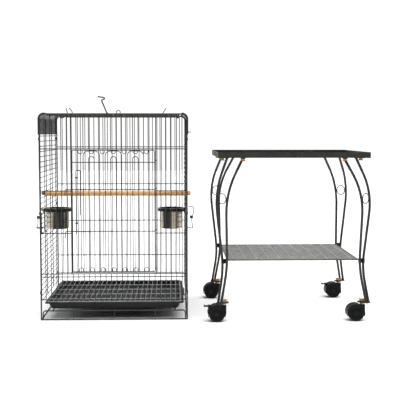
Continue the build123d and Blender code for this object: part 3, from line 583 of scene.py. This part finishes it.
def hood_ribs(build, corner, centre, radius):
    hood = f"caster_hood_{corner}"
    shell = (high(hood).x - low(hood).x) / 2
    reach = max(centre.x - low(hood).x, radius + RIB_GAP * MM)
    for y in RIB_Y:
        path = []
        for k in range(RIB_STEPS + 1):
            spot = around(math.radians(RIB_START + RIB_SWEEP * k / RIB_STEPS)) * min(reach, shell)
            path.append(centre + spot + Vector((0, y * MM, 0)))
        tube(build, path, RIB_R * MM, sides=6)


def caster_details():
    """Axle caps, wheel spokes with two round beads, and the ribs over each hood."""
    for corner in CORNERS:
        wheels = f"caster_wheels_{corner}"
        centre = middle(wheels)
        radius = (high(wheels).z - low(wheels).z) / 2
        half = (high(wheels).y - low(wheels).y) / 2
        caps, spokes, ribs = bmesh.new(), bmesh.new(), bmesh.new()
        for side in (-1, 1):
            face = centre + Vector((0, side * half, 0))
            out = (0, side, 0)
            lathe(caps, face, out, in_metres(CAP_PROFILE))
            wheel_spokes(spokes, face, out)
        hood_ribs(ribs, corner, centre, radius)
        finish_piece(f"axle_caps_{corner}", caps, "black_plastic", f"caster_{corner}")
        finish_piece(f"wheel_spokes_{corner}", spokes, "gloss_black_plastic", f"wheels_{corner}")
        finish_piece(f"hood_ribs_{corner}", ribs, "gloss_black_plastic", f"caster_{corner}")


# ---------------------------------------------------------------- sheet covers and tray
HEM_BEND = 18.25 * MM
HEM_R = 1.05 * MM
HEM_INSET = 0.75 * MM
HEM_RAISE = 0.4 * MM
ARC_STEPS = 8
RIVET_HEIGHT = 12 * MM
RIVET_PLACES = (0.25, 0.75)                   # parts of the cover's length
RIVET_SINK = 0.7 * MM
RIVET_PROFILE = ((0, 3.2), (0.5, 3.0), (1.0, 2.0), (1.2, 0.5))      # mm
TRAY_CORNER = 12 * MM
TRAY_INSET = 0.95 * MM
TRAY_EDGE_R = 1.15 * MM
TRAY_EDGE_DROP = 1.0 * MM


def cover_hems():
    """Folded hems of the corner covers, and two rivets in each."""
    for side, out in (("left", -1), ("right", 1)):
        node = f"corner_cover_{side}"
        build = bmesh.new()
        outer = (low(node).x if out < 0 else high(node).x) - out * HEM_INSET
        inner = high(node).x if out < 0 else low(node).x
        top = high(node).z - HEM_INSET
        base = low(node).z + HEM_RAISE
        for y in (low(node).y + HEM_R, high(node).y - HEM_R):
            path = [(outer, y, base)]
            for k in range(ARC_STEPS + 1):
                angle = math.pi / 2 * k / ARC_STEPS
                path.append((outer - out * HEM_BEND * (1 - math.cos(angle)), y,
                             top - HEM_BEND * (1 - math.sin(angle))))
            path.append((inner, y, top))
            tube(build, path, HEM_R, sides=8)
        foot = [(outer, y, base) for y in (low(node).y, middle(node).y, high(node).y)]
        tube(build, foot, HEM_R, sides=8)
        for part in RIVET_PLACES:
            place = Vector((outer + out * RIVET_SINK, low(node).y + part * (high(node).y - low(node).y),
                            base + RIVET_HEIGHT))
            lathe(build, place, (out, 0, 0), in_metres(RIVET_PROFILE))
        finish_piece(f"cover_hem_{side}", build, "cover_paint", "cage")


def tray_rim():
    """Rolled edge round the tray."""
    build = bmesh.new()
    first, last = low("tray"), high("tray")
    reach = TRAY_CORNER - TRAY_INSET
    path = []
    spots = ((last.x, last.y, 0), (first.x, last.y, 90), (first.x, first.y, 180), (last.x, first.y, 270))
    for x, y, start in spots:
        sx = 1 if x == last.x else -1
        sy = 1 if y == last.y else -1
        for k in range(ARC_STEPS + 1):
            angle = math.radians(start + 90 * k / ARC_STEPS)
            path.append((x - sx * TRAY_CORNER + reach * math.cos(angle),
                         y - sy * TRAY_CORNER + reach * math.sin(angle), last.z - TRAY_EDGE_DROP))
    tube(build, path, TRAY_EDGE_R, sides=8, closed=True)
    finish_piece("tray_rolled_edge", build, "tray_paint", "tray")


# ---------------------------------------------------------------- fasteners
THREAD_PITCH = 0.8 * MM
THREAD_RIDGE = 0.25 * MM
THREAD_TIP, THREAD_TAPER = 0.3 * MM, 0.8
NUT_LEAST = 4 * MM                            # leg_nuts holds nuts thicker than this, and washers
LEG_THREAD_R, LEG_THREAD_END = 3 * MM, 1.6 * MM
STEM_THREAD_R, STEM_THREAD_END = 5 * MM, 1.2 * MM


def thread(build, place, axis, radius, length):
    """Screw end: ridges about 0.8 mm apart, with a chamfered tip."""
    turns = max(1, int(length / THREAD_PITCH))
    step = length / turns
    profile = []
    for k in range(turns):
        profile += [(k * step, radius), (k * step + step / 2, radius + THREAD_RIDGE)]
    profile += [(length, radius), (length + THREAD_TIP, radius * THREAD_TAPER)]
    lathe(build, place, axis, profile, sides=20)


def fastener_ends():
    """Threads that stand past the leg nuts and the caster nuts."""
    build = bmesh.new()
    for first, last in islands("leg_nuts"):
        if last.z - first.z < NUT_LEAST:
            continue
        place = Vector(((first.x + last.x) / 2, (first.y + last.y) / 2, first.z))
        thread(build, place, (0, 0, -1), LEG_THREAD_R, LEG_THREAD_END)
    finish_piece("leg_bolt_threads", build, "brass_fasteners", "stand")
    build = bmesh.new()
    places = set()
    for first, last in islands("caster_nuts"):
        places.add((round((first.x + last.x) / 2, 3), round((first.y + last.y) / 2, 3)))
    top = high("caster_nuts").z
    for x, y in sorted(places):
        thread(build, (x, y, top), (0, 0, 1), STEM_THREAD_R, STEM_THREAD_END)
    finish_piece("caster_stem_threads", build, "brass_fasteners", "stand")


# ---------------------------------------------------------------- welds of the stand
SEAM_R = 0.9 * MM
SEAM_WOBBLE = 0.18
SEAM_INSET = 2.3 * MM
SEAM_POINTS, MITRE_POINTS = 13, 15
MITRE_STEP = 1.6                              # mm
LEG_RING_LEAST, LEG_RING_MOST = 30 * MM, 40 * MM
RING_WELD_INSET = 2.6 * MM
RING_WELD_PROFILE = ((0, 1.5), (1.2, 2.0), (2.4, 2.6), (3.2, 2.0))   # mm


def frame_seams():
    """Weld beads in the inner corners of the stand's angle frame and under its mitres."""
    build = bmesh.new()
    node = "stand_top_frame"
    centre = middle(node)
    half = (high(node).x - low(node).x) / 2
    for sx in (-1, 1):
        for sy in (-1, 1):
            corner = centre + Vector((sx * (half - SEAM_INSET), sy * (half - SEAM_INSET), 0))
            line = [Vector((corner.x, corner.y, low(node).z + (2 + k) * MM)) for k in range(SEAM_POINTS)]
            tube(build, line, SEAM_R, sides=8, wobble=SEAM_WOBBLE)
            under = []
            for k in range(MITRE_POINTS):
                reach = half - (1 + k * MITRE_STEP) * MM
                under.append(Vector((centre.x + sx * reach, centre.y + sy * reach, low(node).z)))
            tube(build, under, SEAM_R, sides=8, wobble=SEAM_WOBBLE)
    finish_piece("frame_weld_seams", build, "wire_paint", "stand")


def ring_welds():
    """Weld beads where each leg's ring meets the two rods."""
    build = bmesh.new()
    for corner in CORNERS:
        for first, last in islands(f"leg_{corner}"):
            tall = last.z - first.z
            if not LEG_RING_LEAST < tall < LEG_RING_MOST:
                continue
            centre = (first + last) / 2
            side = Vector((1, -1 if corner in ("front_left", "back_right") else 1, 0)).normalized()
            for sign in (-1, 1):
                place = centre + side * sign * (tall / 2 - RING_WELD_INSET)
                lathe(build, place, side * sign, in_metres(RING_WELD_PROFILE), 12, COLLAR_WOBBLE)
    finish_piece("ring_welds", build, "wire_paint", "stand")


# ---------------------------------------------------------------- perch
RIDGE_R = 0.3 * MM
RIDGE_COUNTS = (("perch_knob", 4), ("perch_nut", 3))
RIDGED_PART = 0.7                             # of the knob's length
RIDGE_CLOSE = 0.8                             # draws the ridges together
RIDGE_STEPS = 32


def perch_turnings():
    """Ridges round the perch's knob and its end nut."""
    build = bmesh.new()
    for node, count in RIDGE_COUNTS:
        centre = middle(node)
        radius = (high(node).z - low(node).z) / 2
        step = (high(node).x - low(node).x) * RIDGED_PART / count
        for k in range(count):
            x = centre.x + (k - (count - 1) / 2) * step * RIDGE_CLOSE
            path = [(x, centre.y + north, centre.z + up) for north, up in circle(radius, RIDGE_STEPS)]
            tube(build, path, RIDGE_R, sides=6, closed=True)
    finish_piece("knob_ridges", build, "wood", "cage")


# ---------------------------------------------------------------- studio
CAMERA_FROM_CAGE = Vector((0.18207, -3.01495, 0.58364))   # from the middle of the cage's front foot
CAMERA_TURN = math.radians(-2.11)
CAMERA_TILT = math.radians(90 - 4.41)
LENS, SENSOR = 84.0, 36.0                     # mm
FAR_CLIP = 60
FLOOR_HALF, FLOOR_BACK, FLOOR_GAP = 9, 3, 0.0002
SKY_LEAN = 1.1                                # how much height counts beside depth
SKY_FROM, SKY_TO = (-0.5, 0.9), (0.04, 0.5)
SKY_SEEN = 1.05                               # strength that the camera sees
SUN_POWER = 4.0
SUN_SPREAD = math.radians(70)
SUN_TURN = (math.radians(14), math.radians(6), 0)
SIDE_PLACE, SIDE_AIM = (-2.6, -1.0, 1.1), (0, 0, 0.35)
SIDE_SIZE, SIDE_POWER = (0.5, 1.6), 14


def studio_floor():
    mesh = bpy.data.meshes.new("studio_floor")
    build = bmesh.new()
    bmesh.ops.create_grid(build, x_segments=2, y_segments=2, size=FLOOR_HALF)
    build.to_mesh(mesh)
    build.free()
    floor = bpy.data.objects.new("studio_floor", mesh)
    bpy.context.scene.collection.objects.link(floor)
    skin = Surface("studio_floor")
    skin.set(Base_Color=skin.ramp(skin.noise(scale=2), (0.3, FLOOR_DARK), (0.7, FLOOR_LIGHT)))
    skin.set(Roughness=0.9)
    mesh.materials.append(skin.material)
    floor.location = (0, FLOOR_BACK, low("base_frame").z - FLOOR_GAP)


def studio_sky():
    """White where the camera looks; as light, brighter behind and above than at the front."""
    world = bpy.data.worlds.new("studio")
    world.use_nodes = True
    tree = world.node_tree
    coords = tree.nodes.new("ShaderNodeTexCoord")
    place = tree.nodes.new("ShaderNodeSeparateXYZ")
    tree.links.new(coords.outputs["Generated"], place.inputs["Vector"])
    lean = tree.nodes.new("ShaderNodeMath")
    lean.operation = "MULTIPLY_ADD"
    tree.links.new(place.outputs["Z"], lean.inputs[0])
    lean.inputs[1].default_value = SKY_LEAN
    tree.links.new(place.outputs["Y"], lean.inputs[2])
    ramp = tree.nodes.new("ShaderNodeMapRange")
    ramp.inputs["From Min"].default_value, ramp.inputs["From Max"].default_value = SKY_FROM
    ramp.inputs["To Min"].default_value, ramp.inputs["To Max"].default_value = SKY_TO
    tree.links.new(lean.outputs[0], ramp.inputs["Value"])
    seen = tree.nodes.new("ShaderNodeLightPath")
    pick = tree.nodes.new("ShaderNodeMix")
    tree.links.new(seen.outputs["Is Camera Ray"], pick.inputs[0])
    tree.links.new(ramp.outputs["Result"], pick.inputs[2])
    pick.inputs[3].default_value = SKY_SEEN
    tree.links.new(pick.outputs[0], tree.nodes["Background"].inputs["Strength"])
    tree.nodes["Background"].inputs["Color"].default_value = (1, 1, 1, 1)
    bpy.context.scene.world = world


def studio_lamps():
    """A broad soft sun from overhead, and a weak strip light at the left."""
    sun = bpy.data.objects.new("sun", bpy.data.lights.new("sun", "SUN"))
    sun.data.energy = SUN_POWER
    sun.data.angle = SUN_SPREAD
    sun.rotation_euler = SUN_TURN
    bpy.context.scene.collection.objects.link(sun)
    light = bpy.data.lights.new("side", "AREA")
    light.shape = "RECTANGLE"
    light.size, light.size_y = SIDE_SIZE
    light.energy = SIDE_POWER
    lamp = bpy.data.objects.new("side", light)
    lamp.location = SIDE_PLACE
    lamp.rotation_euler = (Vector(SIDE_AIM) - Vector(SIDE_PLACE)).to_track_quat("-Z", "Y").to_euler()
    bpy.context.scene.collection.objects.link(lamp)


def studio_camera():
    camera = bpy.data.objects.new("camera", bpy.data.cameras.new("camera"))
    foot = Vector((middle("front_panel").x, low("front_panel").y, 0))
    camera.location = foot + CAMERA_FROM_CAGE
    camera.rotation_euler = (CAMERA_TILT, 0, CAMERA_TURN)
    camera.data.lens = LENS
    camera.data.sensor_width = SENSOR
    camera.data.clip_end = FAR_CLIP
    bpy.context.scene.collection.objects.link(camera)
    bpy.context.scene.camera = camera
    bpy.context.scene.view_settings.view_transform = "Standard"


materials = make_materials()
dress_cad_nodes()
all_weld_collars()
cup_rims()
caster_details()
cover_hems()
tray_rim()
fastener_ends()
frame_seams()
ring_welds()
perch_turnings()
studio_floor()
studio_sky()
studio_lamps()
studio_camera()
